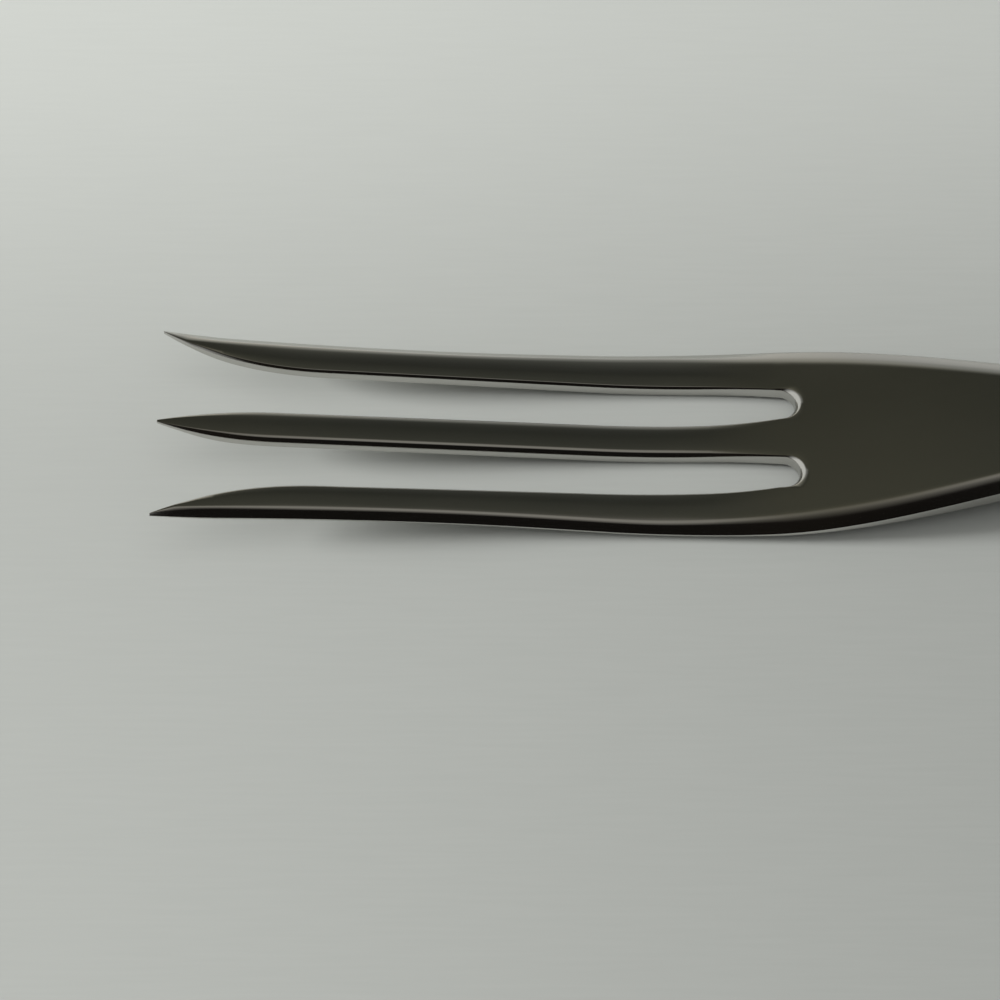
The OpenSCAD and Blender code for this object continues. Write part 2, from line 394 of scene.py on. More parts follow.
# %% [markdown]
# ### Oiled walnut
# A board is a slice through rings of growth, and the rings show as long bands because the trunk lay along
# the handle. An image of wood would stretch on the rounded sides. Here the rings are solid: their distance
# from a heart that lies below the handle, with a slow wander, cut into bands. Short dark pores and fine
# fibres lie on top.

# %% Make the walnut
heart_place = (0.0, 0.018, -0.034)
heart_flatness = (0.035, 1.0, 1.0)
ring_spacing = 0.0031
ring_wander = 0.007
wander_waves = (13, 45, 45)
late_strength = 0.65
fibre_strength = 0.5
fibre_waves = (70, 1500, 1500)
paler_wood = 0.08
early_wood = (0.215, 0.115, 0.060)
late_wood = (0.095, 0.047, 0.024)
pore_wood = (0.045, 0.022, 0.012)
pore_waves = (160, 3200, 3200)
pore_strength = 0.75
pore_relief = 0.00005
relief_strength = 0.5
walnut_roughness = 0.42
pore_roughness = 0.18
fibre_roughness = 0.08

oiled_walnut, walnut_shader, place = new_finish("oiled_walnut")
from_heart = place.node("ShaderNodeVectorMath", {"operation": "SUBTRACT"}, {0: place, 1: heart_place})
across = place.node("ShaderNodeVectorMath", {"operation": "MULTIPLY"}, {0: from_heart, 1: heart_flatness})
distance = place.node("ShaderNodeVectorMath", {"operation": "LENGTH"}, {0: across}, output="Value")
rings = (distance + ring_wander * noise(place, wander_waves)) / ring_spacing
band = place.node("ShaderNodeMath", {"operation": "FRACT"}, {0: rings})
ring_stops = [(0.0, grey(0.0)), (0.55, grey(0.35)), (0.9, grey(1.0)), (1.0, grey(0.0))]
late_share = place.node("ShaderNodeValToRGB", {"stops": ring_stops}, {"Fac": band})
fibres = noise(place, fibre_waves, detail=4.0)
pore_stops = [(0.0, grey(0.0)), (0.62, grey(0.0)), (0.70, grey(1.0))]
pores = place.node("ShaderNodeValToRGB", {"stops": pore_stops}, {"Fac": noise(place, pore_waves)})
darker = late_share * late_strength + fibres * fibre_strength - paler_wood
wood = blend_colours(darker, (*early_wood, 1.0), (*late_wood, 1.0))
blend_colours(pores * pore_strength, wood, (*pore_wood, 1.0)).feed(walnut_shader, "Base Color")
rougher = pore_roughness * pores + fibre_roughness * (fibres - noise_mean)
(walnut_roughness + rougher).feed(walnut_shader, "Roughness")
relief = {"Height": 1 - pores, "Distance": pore_relief, "Strength": relief_strength}
place.node("ShaderNodeBump", {}, relief).feed(walnut_shader, "Normal")
print("walnut with rings", ring_spacing * 1000, "mm apart")

# %% [markdown]
# ### Brass
# The rivet heads were ground flush with the wood, so they keep straight fine scratches rather than a
# mirror. Brass is a yellow metal of medium roughness, with noise drawn out along the handle for the
# scratches.

# %% Make the brass
brass_colour = (0.72, 0.52, 0.25)
brass_roughness = 0.22
scratch_depth = 0.16
scratch_waves = (120, 5000, 5000)

ground_brass, brass_shader, place = new_finish("ground_brass")
brass_shader.inputs["Base Color"].default_value = (*brass_colour, 1.0)
brass_shader.inputs["Metallic"].default_value = 1.0
scratches = scratch_depth * noise(place, scratch_waves, detail=3.0)
(brass_roughness + scratches).feed(brass_shader, "Roughness")
print("brass made")

# %% [markdown]
# ## A chart that becomes a solid
# The forging and the scales are long pieces whose section changes all the way. Box modelling them by hand
# would leave waves in a mirror finish. Instead a flat grid serves as a chart, with one unit per cell:
# columns run across the piece and lines along it. Cells are taken out where there is air, an extrusion
# gives the chart its underside and walls, and then every vertex is sent to the place that the drawing gives
# for its column and line. Only the half with positive Y is charted, and a mirror adds the other.


# %% Cut, thicken and mirror a chart
same_place = 1e-7
half_cell = 0.5


def chart_grid(columns, lines):
    """A flat grid of one-unit cells."""
    bm = bmesh.new()
    bmesh.ops.create_grid(bm, x_segments=columns, y_segments=lines, size=half_cell)
    bmesh.ops.translate(bm, verts=bm.verts[:], vec=(half_cell, half_cell, 0))
    bmesh.ops.scale(bm, verts=bm.verts[:], vec=(columns, lines, 1))
    return bm


def remove_cells(bm, columns, lines):
    """Takes out the cells between two columns and two lines, above and below alike."""
    found = []
    for face in bm.faces:
        middle = face.calc_center_median()
        flat = abs(face.normal.z) > 0.5
        if flat and columns[0] < middle.x < columns[1] and lines[0] < middle.y < lines[1]:
            found.append(face)
    bmesh.ops.delete(bm, geom=found, context="FACES")


def thicken(bm):
    """Adds an underside one unit below and walls round every rim but the one on the centreline."""
    made = bmesh.ops.extrude_face_region(bm, geom=bm.faces[:])
    under = [part for part in made["geom"] if isinstance(part, bmesh.types.BMVert)]
    bmesh.ops.translate(bm, verts=under, vec=(0, 0, -1))
    middle = [face for face in bm.faces if all(v.co.y < half_cell for v in face.verts)]
    bmesh.ops.delete(bm, geom=middle, context="FACES")
    bm.normal_update()


def vertex_chart(bm):
    """Every vertex by its column, its line and whether it lies on the underside."""
    return {(round(v.co.x), round(v.co.y), v.co.z < -half_cell): v for v in bm.verts}


def add_mirror_half(bm):
    bmesh.ops.mirror(bm, geom=bm.verts[:] + bm.edges[:] + bm.faces[:], axis="Y", merge_dist=same_place)
    bmesh.ops.recalc_face_normals(bm, faces=bm.faces[:])


def stops(start, end, count, start_power=1.0, end_power=1.0):
    """Places after start, the last at end. A power above 1 crowds them towards its end."""
    shares = [1 - (1 - (k / count) ** start_power) ** end_power for k in range(1, count + 1)]
    return [mix(start, end, share) for share in shares]


print("four places crowded to the start:", [round(x, 2) for x in stops(0, 1, 4, start_power=2)])


# %% Round holes on the centreline
def columns_with_holes(holes, gap_cells, hole_cells, butt_cells):
    """Columns from the front of the handle to its butt, and the first and last column of each hole."""
    columns = [x_handle]
    blocks = []
    for x, radius in holes:
        columns += stops(columns[-1], x - radius, gap_cells)
        first = len(columns) - 1
        columns += stops(x - radius, x + radius, hole_cells)
        blocks.append((first, len(columns) - 1))
    columns += stops(columns[-1], x_butt, butt_cells, end_power=2.0)
    return columns, blocks


def round_rim(chart, block, depth, under, x, radius):
    """Moves the rim of a block of cells, on one side of the chart, to a half circle."""
    first, last = block
    rim = [(first, line) for line in range(depth)]
    rim += [(column, depth) for column in range(first, last + 1)]
    rim += [(last, line) for line in reversed(range(depth))]
    for step, (column, line) in enumerate(rim):
        turn = math.pi * step / (len(rim) - 1)
        vertex = chart[column, line, under]
        vertex.co.x = x - radius * math.cos(turn)
        vertex.co.y = radius * math.sin(turn)


one_hole = columns_with_holes([(hang_x, hang_r)], gap_cells=5, hole_cells=8, butt_cells=12)
print("columns of one hole:", *one_hole[1])


# %% From a mesh to a piece
def finish_piece(bm, name, finish, node):
    """Makes the mesh an object that rides on the frame and stands for a solid of it."""
    mesh = bpy.data.meshes.new(name)
    bm.to_mesh(mesh)
    bm.free()
    mesh.materials.append(finish)
    mesh.shade_smooth()
    piece = bpy.data.objects.new(name, mesh)
    bpy.context.scene.collection.objects.link(piece)
    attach(piece, "root")
    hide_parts(node)
    print(name, "has", len(mesh.polygons), "faces")
    return piece


def weigh_normals(piece):
    """Lets large faces decide the shading, so that flats stay flat beside small roundings."""
    weighted = piece.modifiers.new("weighted_normals", "WEIGHTED_NORMAL")
    weighted.keep_sharp = True


print("ready to dress", len(frame["nodes"]), "solids")


# %% [markdown]
# ## The forging
# Across half the fork the chart has lines for the middle tine, the slot, the side tine and its outer edge.
# The strip of cells between the tines is taken out up to one column, and that column's vertices go to the
# half circle of the slot root. Behind it the cells open like a fan, each as wide as at the root, so that
# none gets too narrow for a rounding. The outer edge is a bevel with an eased crease, narrow along the
# tines and wider beside the head and neck.

# %% Lines and columns of the forging
middle_lines = [0.0, 0.16, 0.32, 0.47, 0.6, 1.0]
side_lines = [0.0, 0.36, 0.48, 0.59, 0.7, 0.79, 0.87, 0.94, 1.0]
slot_cells = 16
edge_cells = 12
point_cells = 30
tine_cells = 28
draw_cells = 12
head_cells = 42
shoulder_cells = 14
line_middle = len(middle_lines) - 1
line_inner = line_middle + slot_cells
line_flat = line_inner + len(side_lines) - 1
line_outer = line_flat + edge_cells

sleeve_hole_r = 0.00265
tang_holes = [(x, sleeve_hole_r) for x in rivet_xs] + [(hang_x, hang_r)]
fork_columns = [x_tip]
fork_columns += stops(x_tip, x_tip + side_point_l, point_cells, start_power=1.7)
fork_columns += stops(x_tip + side_point_l, x_root_centre - slot_draw_l, tine_cells)
fork_columns += stops(x_root_centre - slot_draw_l, x_root_centre, draw_cells)
root_column = len(fork_columns) - 1
fork_columns += stops(x_root_centre, x_shoulder, head_cells)
fork_columns += stops(x_shoulder, x_handle, shoulder_cells)
tang_columns, tang_blocks = columns_with_holes(tang_holes, gap_cells=5, hole_cells=8, butt_cells=12)
first_tang_column = len(fork_columns) - 1
fork_columns += tang_columns[1:]
print(len(fork_columns), "columns and", line_outer + 1, "lines")

# %% Edge of the forging
tine_edge_run = 0.0011
head_edge_run = 0.0022
head_edge_drop = 0.0012
head_foot_r = 0.0009
edge_from_root = 0.022
edge_blend_l = 0.026
edge_flatness = 0.85
edge_land = 0.04
edge_room = 0.6
tang_edge_r = 0.0002
crease_ease = 0.00066
crease_room = 0.3
crease_samples = 4

x_edge = x_root - edge_from_root


def widened(x):
    """How far the narrow bevel of the tines has become the wide one of the head."""
    return ease(x, x_edge, x_edge + edge_blend_l)


def squared(x):
    """How far the section has become the plain one of the tang."""
    return ease(x, x_shoulder, x_handle)


def edge_sizes(x):
    """Reach and drop of the upper edge, and radius of the lower edge."""
    t = full_t(x) - thinned(x)
    round_r = t * (1 - edge_land) / 2
    room = edge_room * side_width(min(x, x_root_centre))
    run = min(mix(tine_edge_run, head_edge_run, widened(x)), room)
    drop = mix(round_r, head_edge_drop, widened(x))
    foot = min(mix(round_r, head_foot_r, widened(x)), t * (1 - edge_land) - drop, room)
    return [mix(size, tang_edge_r, squared(x)) for size in (run, drop, foot)]


def edge_fall(x, y):
    """Share of the upper edge's drop at y, from 0 on the face to 1 at the side, with its crease eased."""
    run = edge_sizes(x)[0]
    outside = steel_half(x) - y
    flatness = edge_flatness * (1 - squared(x))
    reach = min(crease_ease, crease_room * run, outside)
    total = 0.0
    for k in range(-crease_samples, crease_samples + 1):
        share = clamp(1 - (outside + reach * k / crease_samples) / run)
        total += mix(1 - math.sqrt(1 - share**2), share, flatness)
    return total / (2 * crease_samples + 1)


print("edge of the head:", [round(size * 1000, 2) for size in edge_sizes(x_widest)], "mm")


# %% Where the lines of the upper face run
def fan(column, line):
    """Steps from the centre of a slot's root to the nearest slot line of a column at or behind the root."""
    ring_r = root_r + fork_columns[column] - x_root_centre
    share = (min(max(line, line_middle), line_inner) - line_middle) / slot_cells
    turn = math.pi * (share - 0.5) * root_r / ring_r
    return ring_r * math.cos(turn), ring_r * math.sin(turn)


def column_x(column, line):
    """Place of a column along X, drawn back round the slot root."""
    x = fork_columns[column]
    if column < root_column:
        return x
    drawn_back = fan(column, line)[0] - (x - x_root_centre)
    return x + drawn_back * (1 - ease(x, x_root, x_shoulder))


def tine_y(line, slot_low, slot_high, edge):
    """Distance from the centreline of a line on the middle tine or on a side tine."""
    if line <= line_middle:
        return slot_low * middle_lines[line]
    return mix(slot_high, edge, side_lines[line - line_inner])


def flat_y(column, line):
    """Distance of a line of the upper face from the centreline."""
    x = column_x(column, line_flat)
    edge = steel_half(x) - edge_sizes(x)[0]
    if column < root_column:
        return tine_y(line, middle_half(x), steel_half(x) - side_width(x), edge)
    root_edge = steel_half(x_root_centre) - edge_sizes(x_root_centre)[0]
    at_line = y_slot + fan(column, line)[1]
    if not line_middle < line < line_inner:
        slot_low = y_slot + fan(column, line_middle)[1]
        slot_high = y_slot + fan(column, line_inner)[1]
        at_line = tine_y(line, slot_low, slot_high, root_edge)
    return edge * mix(at_line / root_edge, line / line_flat, ease(x, x_root, x_handle))


print("half width of the flat face at the roots:", round(flat_y(root_column, line_flat) * 1000, 2), "mm")

# %% Where a vertex of the forging goes
tine_crown_r = 0.025
tine_ridge = 0.4
head_crown_r = 0.60
crown_blend_l = 0.016


def crown(x, y, line):
    """How far the upper face lies below its ridge, which runs along each tine and amid the head."""
    ridge = 0.0
    if line >= line_inner:
        ridge = mix(steel_half(x) - side_width(x), steel_half(x) - edge_sizes(x)[0], tine_ridge)
    tine_fall = (y - ridge) ** 2 / (2 * tine_crown_r)
    head_fall = y**2 / (2 * head_crown_r)
    flattened = ease(x, x_root_centre - crown_blend_l, x_root_centre)
    return mix(tine_fall, head_fall, flattened) * (1 - squared(x))


def forging_place(column, line, under):
    """Place of the vertex at a column and a line, on the upper face or the underside."""
    x = column_x(column, line)
    run, drop, foot = edge_sizes(x)
    half = steel_half(x)
    low = belly_z(x) + thinned(x)
    high = belly_z(x) + full_t(x)
    turn = math.pi / 2 * clamp((line_outer - line) / edge_cells)
    if under:
        if line <= line_inner:
            return x, flat_y(column, line), low
        if line <= line_flat:
            inner = flat_y(column, line_inner)
            return x, mix(inner, half - foot, side_lines[line - line_inner]), low
        return x, half - foot + foot * math.cos(turn), low + foot - foot * math.sin(turn)
    y = flat_y(column, line) if line <= line_flat else half - run + run * math.cos(turn)
    return x, y, high - crown(x, y, line) - (drop - crown(x, half, line)) * edge_fall(x, y)


root_place = forging_place(root_column, line_middle + slot_cells // 2, False)
print("slot root at", [round(value, 5) for value in root_place])

# %% Build the forging
fork_mesh = chart_grid(len(fork_columns) - 1, line_outer)
remove_cells(fork_mesh, (0, root_column), (line_middle, line_inner))
fork_holes = []
for (x, radius), (first, last) in zip(tang_holes, tang_blocks):
    block = (first + first_tang_column, last + first_tang_column)
    depth = round(radius / (flat_y(block[0], line_flat) / line_flat))
    remove_cells(fork_mesh, block, (0, depth))
    fork_holes.append((x, radius, block, depth))
thicken(fork_mesh)
fork_chart = vertex_chart(fork_mesh)
for key, vertex in fork_chart.items():
    vertex.co = forging_place(*key)
for x, radius, block, depth in fork_holes:
    for under in (False, True):
        round_rim(fork_chart, block, depth, under, x, radius)
print("forging charted with", len(fork_mesh.faces), "faces in half")

# %% [markdown]
# The edges of the slots were broken with a belt, which shows as a thin bright line over a dark one. A Bevel
# modifier cuts just the edges that carry a weight. The cut is wider on the middle tine than on the side
# tines. It fades where a tine narrows to its point and where it nears the slot root, and it is widest round
# the roots themselves. The edges below get a small even cut. A Weld modifier merges the vertices that meet
# at the points. The butt end has no rounding above and below, so its edges are marked sharp.

# %% Break the slot edges
middle_cut = 0.0006
side_cut = 0.0004
faded_cut = 0.00015
root_cut = 0.0008
under_cut = 0.0003
fade_from = 0.018
fade_to = -0.006
cut_room = 0.32


def join_edge(first, second):
    """The edge between two vertices of the chart."""
    ends = [fork_chart[first], fork_chart[second]]
    return next(edge for edge in ends[0].link_edges if edge.other_vert(ends[0]) == ends[1])


bevel_weight = fork_mesh.edges.layers.float.new("bevel_weight_edge")
slot_rim = [(column, line_middle) for column in range(root_column)]
slot_rim += [(root_column, line) for line in range(line_middle, line_inner + 1)]
slot_rim += [(column, line_inner) for column in reversed(range(root_column))]
for under in (False, True):
    for first, second in zip(slot_rim, slot_rim[1:]):
        x = fork_columns[min(first[0], second[0])]
        across_slot = (first[1] - line_middle) / slot_cells
        flat = mix(middle_half(x), side_width(x) - edge_sizes(x)[0], across_slot)
        room = cut_room * min(flat, full_t(x) - thinned(x))
        faded = ease(x, x_root_centre - fade_from, x_root_centre - fade_to)
        width = min(mix(mix(middle_cut, side_cut, across_slot), faded_cut, faded), room)
        width = mix(width, root_cut, math.sin(math.pi * across_slot))
        if under:
            width = min(under_cut, room)
        join_edge((*first, under), (*second, under))[bevel_weight] = width / root_cut
print("slot edges broken by up to", root_cut * 1000, "mm")

# %% Close and finish the forging
cut_profile = 0.36
cut_segments = 4

butt_column = len(fork_columns) - 1
for under in (False, True):
    for line in range(line_outer):
        join_edge((butt_column, line, under), (butt_column, line + 1, under)).smooth = False
add_mirror_half(fork_mesh)
fork = finish_piece(fork_mesh, "forging", polished_steel, "fork_forging")
cut = fork.modifiers.new("broken_edges", "BEVEL")
cut.limit_method = "WEIGHT"
cut.width = root_cut
cut.segments = cut_segments
cut.profile = cut_profile
cut.use_clamp_overlap = False
cut.loop_slide = False
weld = fork.modifiers.new("welded_tips", "WELD")
weld.merge_threshold = same_place
weigh_normals(fork)
print("forging finished by", len(fork.modifiers), "modifiers")

# %% [markdown]
# ## The scales
# Each scale is a slab of walnut with its outer edges rounded over, a round nose towards the neck and a
# rounded heel. It is charted in the same way: lines for the flat back, the rounding and the side. The first
# and the last column stand at the same place as their neighbours but at the foot of the end face, so that
# the chart also wraps the ends. Vertices that meet there are merged.

# %% Lines and columns of a scale
scale_nose_l = 0.010
head_gap = 0.00005
hang_eased = 0.0006
back_cells = 8
round_cells = 8
wall_cells = 3
nose_cells = 9
line_back = back_cells
line_round = line_back + round_cells
line_foot = line_round + wall_cells

head_hole_r = rivet_head_r + head_gap
scale_holes = [(x, head_hole_r) for x in rivet_xs] + [(hang_x, hang_r + hang_eased)]
scale_columns, scale_blocks = columns_with_holes(scale_holes, gap_cells=8, hole_cells=12, butt_cells=16)
nose_columns = stops(x_handle, x_handle + scale_nose_l, nose_cells, start_power=2.0)
beyond_nose = [x for x in scale_columns if x > nose_columns[-1]]
first_beyond = len(scale_columns) - len(beyond_nose)
front_columns = [x_handle, x_handle, *nose_columns]
shift = len(front_columns) - first_beyond
scale_columns = [*front_columns, *beyond_nose, x_butt]
scale_blocks = [(first + shift, last + shift) for first, last in scale_blocks]
print(len(scale_columns), "columns and", line_foot + 1, "lines on a scale")

# %% Where a vertex of a scale goes
scale_edge_r = 0.0046
scale_nose_h = 0.0022
scale_heel_l = 0.005
scale_heel_h = 0.0034
scale_land = 0.0005
scale_eased = 0.00015


def scale_h(x):
    nose = 1 - clamp((x - x_handle) / scale_nose_l)
    heel = clamp((x - x_butt + scale_heel_l) / scale_heel_l)
    nose_h = mix(scale_nose_h, scale_t, math.sqrt(1 - nose**2))
    heel_h = mix(scale_heel_h, scale_t, math.sqrt(1 - heel**2))
    return min(nose_h, heel_h)


def scale_place(column, line, under):
    """Place of a vertex above the tang, with height 0 on the tang."""
    x = scale_columns[column]
    half = handle_half(x)
    h = scale_h(x)
    r = min(scale_edge_r, h - scale_land, half - scale_land)
    turn = math.pi / 2 * clamp((line - line_back) / round_cells)
    y = (half - r) * min(line / back_cells, 1) + r * math.sin(turn)
    if under:
        inside = mix(x_handle + scale_eased, x_butt - scale_eased, (x - x_handle) / (x_butt - x_handle))
        return inside, y * (half - scale_eased) / half, 0.0
    height = h - r + r * math.cos(turn)
    if line > line_round:
        height = mix(h - r, scale_eased, (line - line_round) / wall_cells)
    if column in (0, len(scale_columns) - 1):
        height = scale_eased
    return x, y, height


print("scale", round(scale_h(x_handle) * 1000, 2), "mm high at its nose")
print("scale", round(scale_t * 1000, 2), "mm high at its back")

# %% [markdown]
# The scales are drilled after they are charted. A rim of the chart becomes a full circle once the mirror
# has closed it, and from there the wall is drawn down ring by ring: each ring is the last one extruded,
# moved and scaled about the hole. So the seat of a rivet head gets its step, and the hanging hole its eased
# lip. The last ring is bridged to the rim on the side of the tang.

# %% Drill a scale
head_h = 0.0016
hole_reach = 1.5
lip_steps = 4


def next_ring(bm, edges, x, radius, new_radius, drop):
    """Extrudes a ring of edges to another radius and height, and gives the new ring."""
    made = bmesh.ops.extrude_edge_only(bm, edges=edges)
    verts = [part for part in made["geom"] if isinstance(part, bmesh.types.BMVert)]
    share = new_radius / radius
    about_hole = Matrix.Translation((-x, 0, 0))
    bmesh.ops.scale(bm, verts=verts, vec=(share, share, 1), space=about_hole)
    bmesh.ops.translate(bm, verts=verts, vec=(0, 0, drop))
    ring = set(verts)
    return [edge for edge in bm.edges if edge.verts[0] in ring and edge.verts[1] in ring]


def drill(bm, x, rim_r, rings):
    """Walls a hole from its outer rim, through rings of a radius and a depth, to its rim on the tang."""
    near = hole_reach * rim_r
    rims = [edge for edge in bm.edges if edge.is_boundary and abs(edge.verts[0].co.x - x) < near]
    outer = [edge for edge in rims if edge.verts[0].co.z > scale_t / 2]
    inner = [edge for edge in rims if edge.verts[0].co.z < scale_t / 2]
    radius, depth = rim_r, 0.0
    for new_radius, new_depth in rings:
        outer = next_ring(bm, outer, x, radius, new_radius, depth - new_depth)
        radius, depth = new_radius, new_depth
    bmesh.ops.bridge_loops(bm, edges=outer + inner)


lip_turns = [math.pi / 2 * step / lip_steps for step in range(1, lip_steps + 1)]
head_seat = [(head_hole_r, head_h), (sleeve_hole_r, head_h)]
hang_lip = [(hang_r + hang_eased * (1 - math.sin(a)), hang_eased * (1 - math.cos(a))) for a in lip_turns]
print("rings of the hanging hole's lip:", [(round(r * 1000, 2), round(d * 1000, 2)) for r, d in hang_lip])


# %% Build both scales
def build_scale(name, side):
    """A scale above the tang for side 1 and below it for side -1."""
    bm = chart_grid(len(scale_columns) - 1, line_foot)
    thicken(bm)
    holes = []
    for (x, radius), block in zip(scale_holes, scale_blocks):
        back = handle_half(x) - scale_edge_r
        depth = round(radius / (back / back_cells))
        remove_cells(bm, block, (0, depth))
        holes.append((x, radius, block, depth))
    chart = vertex_chart(bm)
    for key, vertex in chart.items():
        vertex.co = scale_place(*key)
    for x, radius, block, depth in holes:
        through = hang_r if x == hang_x else sleeve_hole_r
        round_rim(chart, block, depth, False, x, radius)
        round_rim(chart, block, depth, True, x, through)
    add_mirror_half(bm)
    bmesh.ops.remove_doubles(bm, verts=bm.verts[:], dist=same_place)
    bmesh.ops.dissolve_degenerate(bm, edges=bm.edges[:], dist=same_place)
    for x, radius, _, _ in holes:
        drill(bm, x, radius, hang_lip if x == hang_x else head_seat)
    bmesh.ops.scale(bm, verts=bm.verts[:], vec=(1, 1, side))
    bmesh.ops.translate(bm, verts=bm.verts[:], vec=(0, 0, z_mid + side * tang_t / 2))
    bmesh.ops.recalc_face_normals(bm, faces=bm.faces[:])
    return finish_piece(bm, name, oiled_walnut, name.replace("walnut_", ""))


upper_scale = build_scale("walnut_upper_scale", 1)
lower_scale = build_scale("walnut_lower_scale", -1)
weigh_normals(upper_scale)
weigh_normals(lower_scale)

# %% [markdown]
# ## The rivets
# Each rivet is a pair that was pressed together through the handle: a post with a head above, and a sleeve
# with a head below whose bore takes the post. Both are turned parts, so half a section is drawn beside the
# axis and spun round it.

# %% Sections of a rivet
head_eased = 0.00012
post_r = 0.0017
sleeve_r = 0.0026
bore_gap = 0.00002
bore_r = post_r + bore_gap
sleeve_floor = 0.0014
post_end_gap = 0.0006
sleeve_end_gap = 0.0008
z_post_end = head_h + sleeve_floor + post_end_gap
z_sleeve_end = z_top - head_h - sleeve_end_gap

post_section = [
    (0.0, z_top),
    (rivet_head_r - head_eased, z_top),
    (rivet_head_r, z_top - head_eased),
    (rivet_head_r, z_top - head_h),
    (post_r, z_top - head_h),
    (post_r, z_post_end + head_eased),
    (post_r - head_eased, z_post_end),
    (0.0, z_post_end),
]
sleeve_section = [
    (0.0, 0.0),
    (rivet_head_r - head_eased, 0.0),
    (rivet_head_r, head_eased),
    (rivet_head_r, head_h),
    (sleeve_r, head_h),
    (sleeve_r, z_sleeve_end - head_eased),
    (sleeve_r - head_eased, z_sleeve_end),
    (bore_r, z_sleeve_end),
    (bore_r, head_h + sleeve_floor),
    (0.0, head_h + sleeve_floor),
]
print("post down to", round(z_post_end * 1000, 2), "mm")
print("sleeve up to", round(z_sleeve_end * 1000, 2), "mm")

# %% Turn the posts and the sleeves
turned_steps = 48


def turn_section(section, x):
    """Spins a half section of radii and heights round an upright axis at x."""
    bm = bmesh.new()
    verts = [bm.verts.new((x + radius, 0, z)) for radius, z in section]
    edges = [bm.edges.new(pair) for pair in zip(verts, verts[1:])]
    axis = {"axis": (0, 0, 1), "cent": (x, 0, 0)}
    bmesh.ops.spin(bm, geom=verts + edges, angle=2 * math.pi, steps=turned_steps, use_merge=True, **axis)
    bmesh.ops.remove_doubles(bm, verts=bm.verts[:], dist=same_place)
    bmesh.ops.recalc_face_normals(bm, faces=bm.faces[:])
    return bm


for rivet_place, x in zip(rivet_places, rivet_xs):
    for half, section in (("post", post_section), ("sleeve", sleeve_section)):
        node = f"rivet_{half}_{rivet_place}"
        weigh_normals(finish_piece(turn_section(section, x), "brass_" + node, ground_brass, node))

# %% [markdown]
# ## Floor
# The fork lies on a plain pale board with a hardly visible grain along it. Light is painted into the board's
# colour, which gets paler to the left and to the back. A single large face is enough, a hair below the fork
# so that the two never share a plane.

# %% Lay the floor
floor_reach = 6.0
floor_gap = 0.0001
floor_colour = (0.346, 0.357, 0.340)
# Painted light: the board gets a paler colour towards the left and the back, where more light would fall; the
# first colour is the least lit.
floor_painted_light = (0.668, 0.688, 0.656)
painted_light_left = (0.03, -0.23)
painted_light_behind = (-0.01, 0.09)
grain_depth = 0.08
grain_waves = (90, 1700, 1700)
board_roughness = 0.6
board_gloss = 0.2

board, board_shader, place = new_finish("pale_board")
grain = noise(place, grain_waves, detail=3.0)


def painted_light_along(axis, limits):
    """How much painted light, rising smoothly from 0 to 1 between two places along an axis of the floor."""
    along = place.node("ShaderNodeSeparateXYZ", {}, {0: place}, output=axis)
    sockets = {"Value": along, "From Min": limits[0], "From Max": limits[1]}
    return place.node("ShaderNodeMapRange", {"interpolation_type": "SMOOTHSTEP"}, sockets)


# Painted light: the board's colour blends towards the palest tone to the left and to the back, with the real
# grain on top.
painted_light_share = (painted_light_along("X", painted_light_left) + painted_light_along("Y", painted_light_behind)) / 2
grain_and_painted_light = painted_light_share + grain_depth * (grain - noise_mean)
blend_colours(grain_and_painted_light, (*floor_colour, 1.0), (*floor_painted_light, 1.0)).feed(board_shader, "Base Color")
board_shader.inputs["Roughness"].default_value = board_roughness
board_shader.inputs["Specular IOR Level"].default_value = board_gloss
floor_bm = bmesh.new()
bmesh.ops.create_grid(floor_bm, x_segments=1, y_segments=1, size=floor_reach)
bmesh.ops.translate(floor_bm, verts=floor_bm.verts[:], vec=(0, 0, -floor_gap))
floor_mesh = bpy.data.meshes.new("floor")
floor_bm.to_mesh(floor_mesh)
floor_bm.free()
floor_mesh.materials.append(board)
floor = bpy.data.objects.new("floor", floor_mesh)
bpy.context.scene.collection.objects.link(floor)
print("floor laid", floor_gap * 1000, "mm below the fork")

# %% [markdown]
# ## Light
# Polished steel shows what stands round it, so the surroundings matter as much as the lamps. Seen along the
# fork the world is dark in front, where the camera stands, has one pale strip overhead and gets brighter
# towards the wall behind. That makes the flats dark and the rounded edges run from black to pale. Farther
# to the left and right it is bright, which little of the steel but the slot roots mirrors into the camera.
# A low window far to the left throws the soft shadows and a ceiling lamp fills them. Both stay out of
# reflections, where their shapes would break the long smooth tones.

# %% Tones of the surroundings
surround = [
    (0, (0.009, 0.008, 0.007)),
    (72, (0.009, 0.008, 0.007)),
    (110, (0.070, 0.071, 0.056)),
    (113, (0.064, 0.066, 0.053)),
    (118, (0.052, 0.054, 0.044)),
    (121, (0.045, 0.047, 0.038)),
    (124.5, (0.036, 0.038, 0.031)),
    (128, (0.046, 0.048, 0.041)),
    (132, (0.078, 0.081, 0.070)),
    (138, (0.150, 0.155, 0.140)),
    (146, (0.260, 0.265, 0.245)),
    (160, (0.380, 0.385, 0.365)),
    (180, (0.620, 0.625, 0.600)),
]
strip = [(72, grey(0.0)), (86, grey(0.4)), (96, grey(1.0)), (104, grey(1.0)), (111, grey(0.0))]
surround_gain = [(-0.08, (1.28, 1.22, 1.12)), (0.08, grey(0.88))]
strip_gain = [(-0.08, (0.078, 0.073, 0.065)), (0.08, (0.24, 0.23, 0.215))]
side_share = [(-0.75, grey(1.0)), (-0.28, grey(0.0)), (0.28, grey(0.0)), (0.50, grey(1.0))]
left_tone = (0.730, 0.740, 0.720)
right_tone = (0.560, 0.565, 0.555)
side_blend = 0.2
print(len(surround), "tones from front to back")

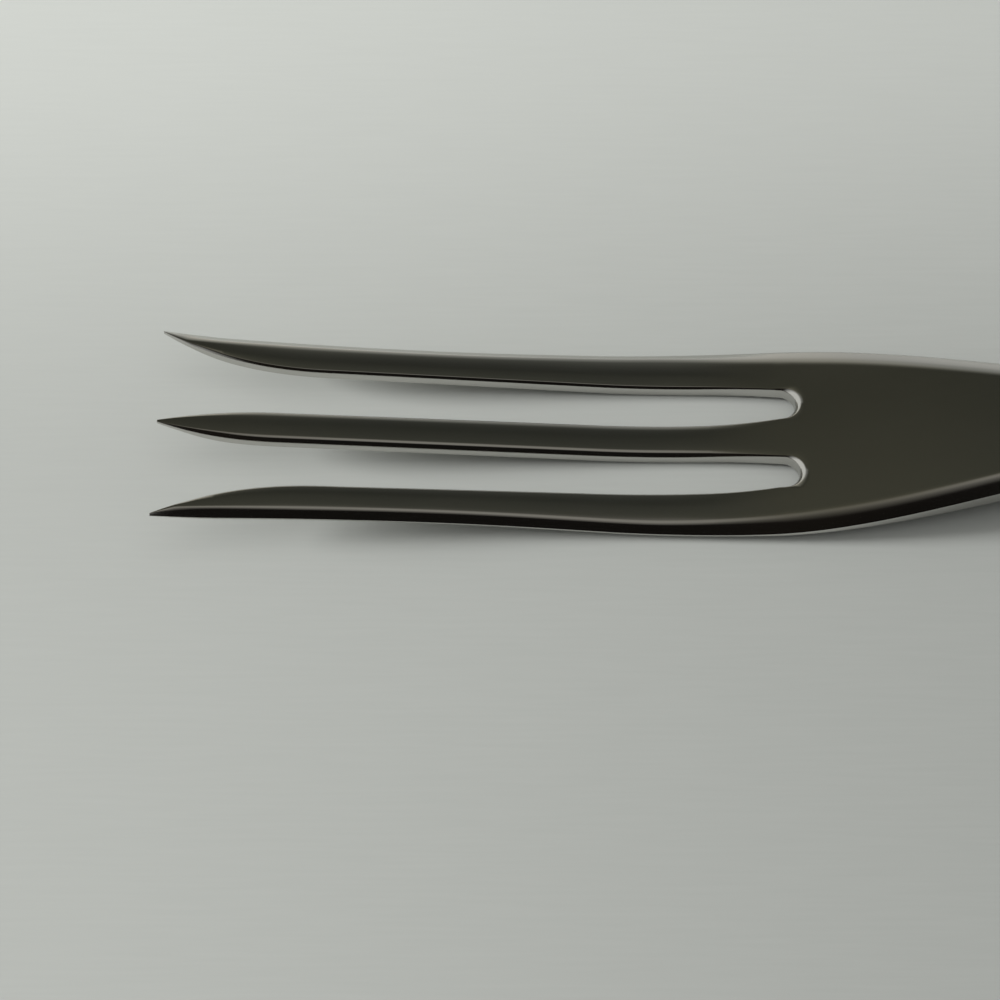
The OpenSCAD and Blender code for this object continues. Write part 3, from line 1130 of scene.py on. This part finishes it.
# %% Surroundings that the steel mirrors
world = bpy.data.worlds.new("studio")
bpy.context.scene.world = world
world.use_nodes = True
background = world.node_tree.nodes["Background"]
towards = Wire(world.node_tree).node("ShaderNodeTexCoord", output="Generated")
sideways = towards.node("ShaderNodeSeparateXYZ", {}, {0: towards}, output="X")
forward = towards.node("ShaderNodeSeparateXYZ", {}, {0: towards}, output="Y")
upward = towards.node("ShaderNodeSeparateXYZ", {}, {0: towards}, output="Z")
angle = towards.node("ShaderNodeMath", {"operation": "ARCTAN2"}, {0: upward, 1: -1 * forward}) / math.pi


def to_share(side):
    """A place from -1 on the left to 1 on the right as a share from 0 to 1."""
    return side / 2 + 0.5


def by_angle(tones):
    """Tones by the angle from the front over the top to the back, in degrees."""
    shares = [(degrees / 180, tone) for degrees, tone in tones]
    return towards.node("ShaderNodeValToRGB", {"stops": shares}, {"Fac": angle})


def by_side(tones):
    """Tones by the share to the left, from -1, or to the right, up to 1."""
    shares = [(to_share(side), tone) for side, tone in tones]
    return towards.node("ShaderNodeValToRGB", {"stops": shares}, {"Fac": to_share(sideways)})


def join(operation, first, second):
    return towards.node("ShaderNodeVectorMath", {"operation": operation}, {0: first, 1: second})


walls = join("MULTIPLY", by_angle(surround), by_side(surround_gain))
overhead = join("MULTIPLY", by_angle(strip), by_side(strip_gain))
middle = join("ADD", walls, overhead)
sides = by_side([(-side_blend, left_tone), (side_blend, right_tone)])
blend_colours(by_side(side_share), middle, sides).feed(background, "Color")
print("surroundings set")

# %% Lamps
window_place = (-0.77, 0.04, 0.17)
window_strength = 6.3
window_spread = math.radians(11)
ceiling_place = (-0.10, 0.0, 0.60)
ceiling_power = 1.15
ceiling_size = 0.8


def add_lamp(name, kind, place, strength):
    """A lamp that faces the slot roots and stays out of every reflection."""
    lamp = bpy.data.lights.new(name, kind)
    lamp.energy = strength
    lamp_object = bpy.data.objects.new(name, lamp)
    lamp_object.location = place
    aim = Vector((x_root, 0, 0)) - Vector(place)
    lamp_object.rotation_euler = aim.to_track_quat("-Z", "Y").to_euler()
    lamp_object.visible_glossy = False
    bpy.context.scene.collection.objects.link(lamp_object)
    return lamp


window = add_lamp("window", "SUN", window_place, window_strength)
window.angle = window_spread
ceiling = add_lamp("ceiling", "AREA", ceiling_place, ceiling_power)
ceiling.size = ceiling_size
print("a window and a ceiling lamp")

# %% [markdown]
# ## Camera
# The picture was taken from the near side, 60 degrees above the table, with the fork's axis across the
# frame. The camera's distance and lens come from the taper of the fork in the picture and from the size of
# the fork.

# %% Set the camera
view_elevation = math.radians(60)
view_distance = 0.3472
aim_from_root = 0.0416
aim_in_front = 0.0085
lens_length = 90
sensor_width = 36
view_aim = Vector((x_root - aim_from_root, -aim_in_front, 0.0))

camera = bpy.data.cameras.new("camera")
camera.lens = lens_length
camera.sensor_width = sensor_width
camera_object = bpy.data.objects.new("camera", camera)
towards_camera = Vector((0, -math.cos(view_elevation), math.sin(view_elevation)))
camera_object.location = view_aim + view_distance * towards_camera
camera_object.rotation_euler = (math.pi / 2 - view_elevation, 0, 0)
bpy.context.scene.collection.objects.link(camera_object)
bpy.context.scene.camera = camera_object
bpy.context.scene.view_settings.view_transform = "Standard"
print("camera at", [round(value, 4) for value in camera_object.location])
